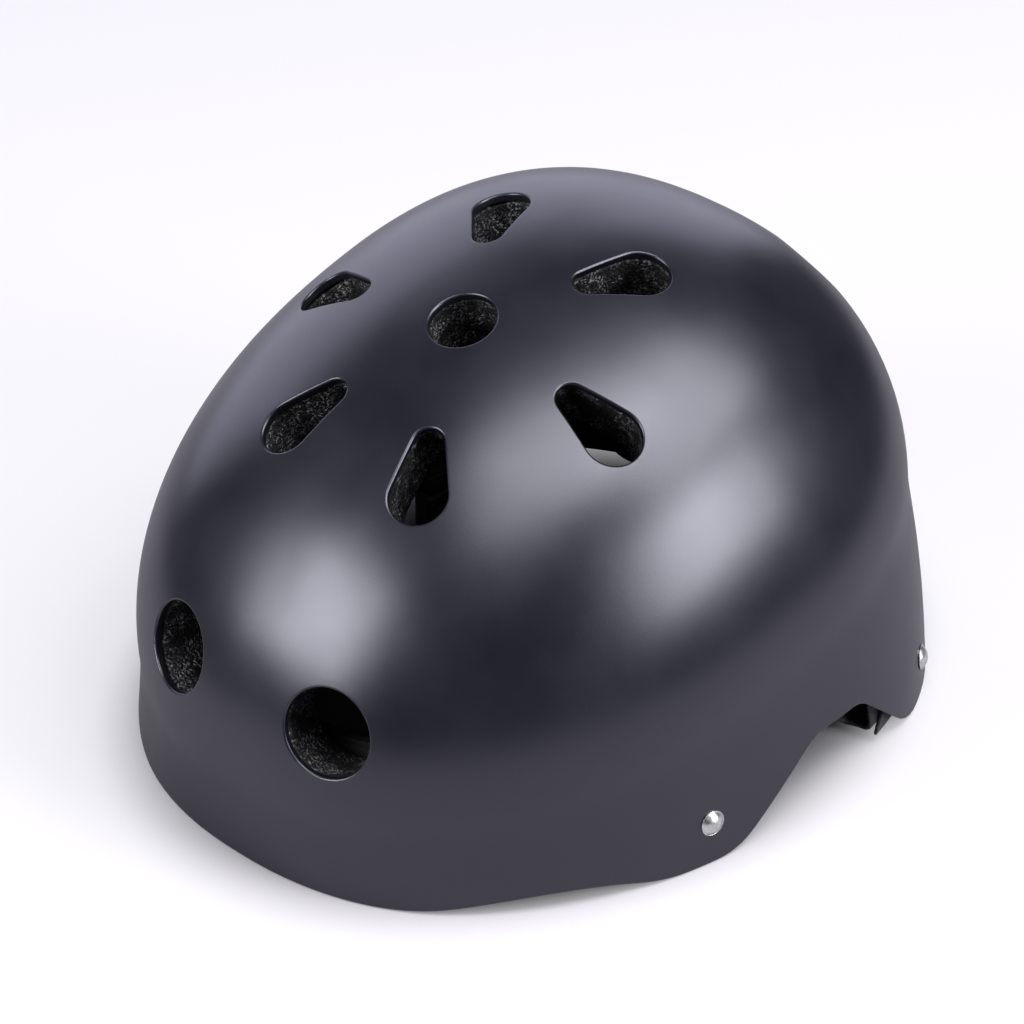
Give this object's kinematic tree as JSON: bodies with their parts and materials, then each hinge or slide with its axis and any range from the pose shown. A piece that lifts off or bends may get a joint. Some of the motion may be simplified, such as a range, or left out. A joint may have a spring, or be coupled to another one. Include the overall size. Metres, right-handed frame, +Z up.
{
  "type": "skateboard helmet",
  "caption": "Hard-shell skateboard helmet with foam liner, comfort pads, round and teardrop vents, riveted webbing straps and a side-release chin buckle.",
  "frame": {"origin": "centre of the footprint, on the surface that the rim stands on", "axes": "+Z up, front of the helmet towards -Y, the wearer's left towards +X"},
  "size_m": [0.2258, 0.26, 0.1572],
  "materials": {
    "shell_plastic": "satin black moulded plastic with a faint blue-violet grey sheen",
    "liner_foam": "black moulded bead foam with a fine pebbled skin",
    "pad_fabric": "black brushed knit over soft foam",
    "hook_tape": "black hook tape",
    "webbing": "black ribbed polyester webbing",
    "buckle_plastic": "black moulded plastic with a fine grain",
    "rivet_steel": "bright nickel-plated steel",
    "keeper_rubber": "matte black rubber"
  },
  "bodies": {
    "root": {"outer_shell": "shell_plastic", "foam_liner": "liner_foam", "brow_pad": "pad_fabric", "nape_pad": "pad_fabric", "left_side_pad": "pad_fabric", "right_side_pad": "pad_fabric", "crown_pad": "pad_fabric", "hook_dots": "hook_tape", "rivets": "rivet_steel", "rivet_washers": "rivet_steel", "left_front_strap_anchor": "webbing", "right_front_strap_anchor": "webbing", "left_rear_strap_anchor": "webbing", "right_rear_strap_anchor": "webbing"},
    "left_side_straps": {"left_front_side_strap": "webbing", "left_rear_side_strap": "webbing", "left_divider": "buckle_plastic"},
    "right_side_straps": {"right_front_side_strap": "webbing", "right_rear_side_strap": "webbing", "right_divider": "buckle_plastic"},
    "left_chin_end": {"left_chin_strap": "webbing", "buckle_socket": "buckle_plastic"},
    "right_chin_end": {"right_chin_strap": "webbing", "buckle_plug": "buckle_plastic"},
    "front_plug_arm": {"plug_arm_front": "buckle_plastic"},
    "rear_plug_arm": {"plug_arm_rear": "buckle_plastic"},
    "keeper": {"strap_keeper": "keeper_rubber"}
  },
  "joints": [
    {"name": "left_side_straps_swing", "type": "hinge", "parent": "root", "child": "left_side_straps", "pos_m": [0.0985, 0.008, 0.004], "axis": [0, -1, 0], "range_deg": [0, 140]},
    {"name": "right_side_straps_swing", "type": "hinge", "parent": "root", "child": "right_side_straps", "pos_m": [-0.0985, 0.008, 0.004], "axis": [0, 1, 0], "range_deg": [0, 140]},
    {"name": "left_chin_end_hang", "type": "hinge", "parent": "left_side_straps", "child": "left_chin_end", "pos_m": [0.03951, 0.008, 0.06835], "axis": [0, -1, 0], "range_deg": [-140, 0]},
    {"name": "right_chin_end_hang", "type": "hinge", "parent": "right_side_straps", "child": "right_chin_end", "pos_m": [-0.03951, 0.008, 0.06835], "axis": [0, 1, 0], "range_deg": [-140, 0]},
    {"name": "front_plug_arm_flex", "type": "hinge", "parent": "right_chin_end", "child": "front_plug_arm", "pos_m": [-0.04081, 0.0006, 0.03635], "axis": [1, 0, 0], "range_deg": [0, 6], "stiffness_Nm_per_rad": 0.01},
    {"name": "rear_plug_arm_flex", "type": "hinge", "parent": "right_chin_end", "child": "rear_plug_arm", "pos_m": [-0.04081, 0.0154, 0.03635], "axis": [-1, 0, 0], "range_deg": [0, 6], "stiffness_Nm_per_rad": 0.01},
    {"name": "keeper_slide", "type": "slide", "parent": "right_chin_end", "child": "keeper", "axis": [0, 0, 1], "range_m": [0, 0.005]}
  ],
  "couplings": [
    {"joint": "left_chin_end_hang", "follows": "left_side_straps_swing", "ratio": -1},
    {"joint": "right_chin_end_hang", "follows": "right_side_straps_swing", "ratio": -1}
  ]
}
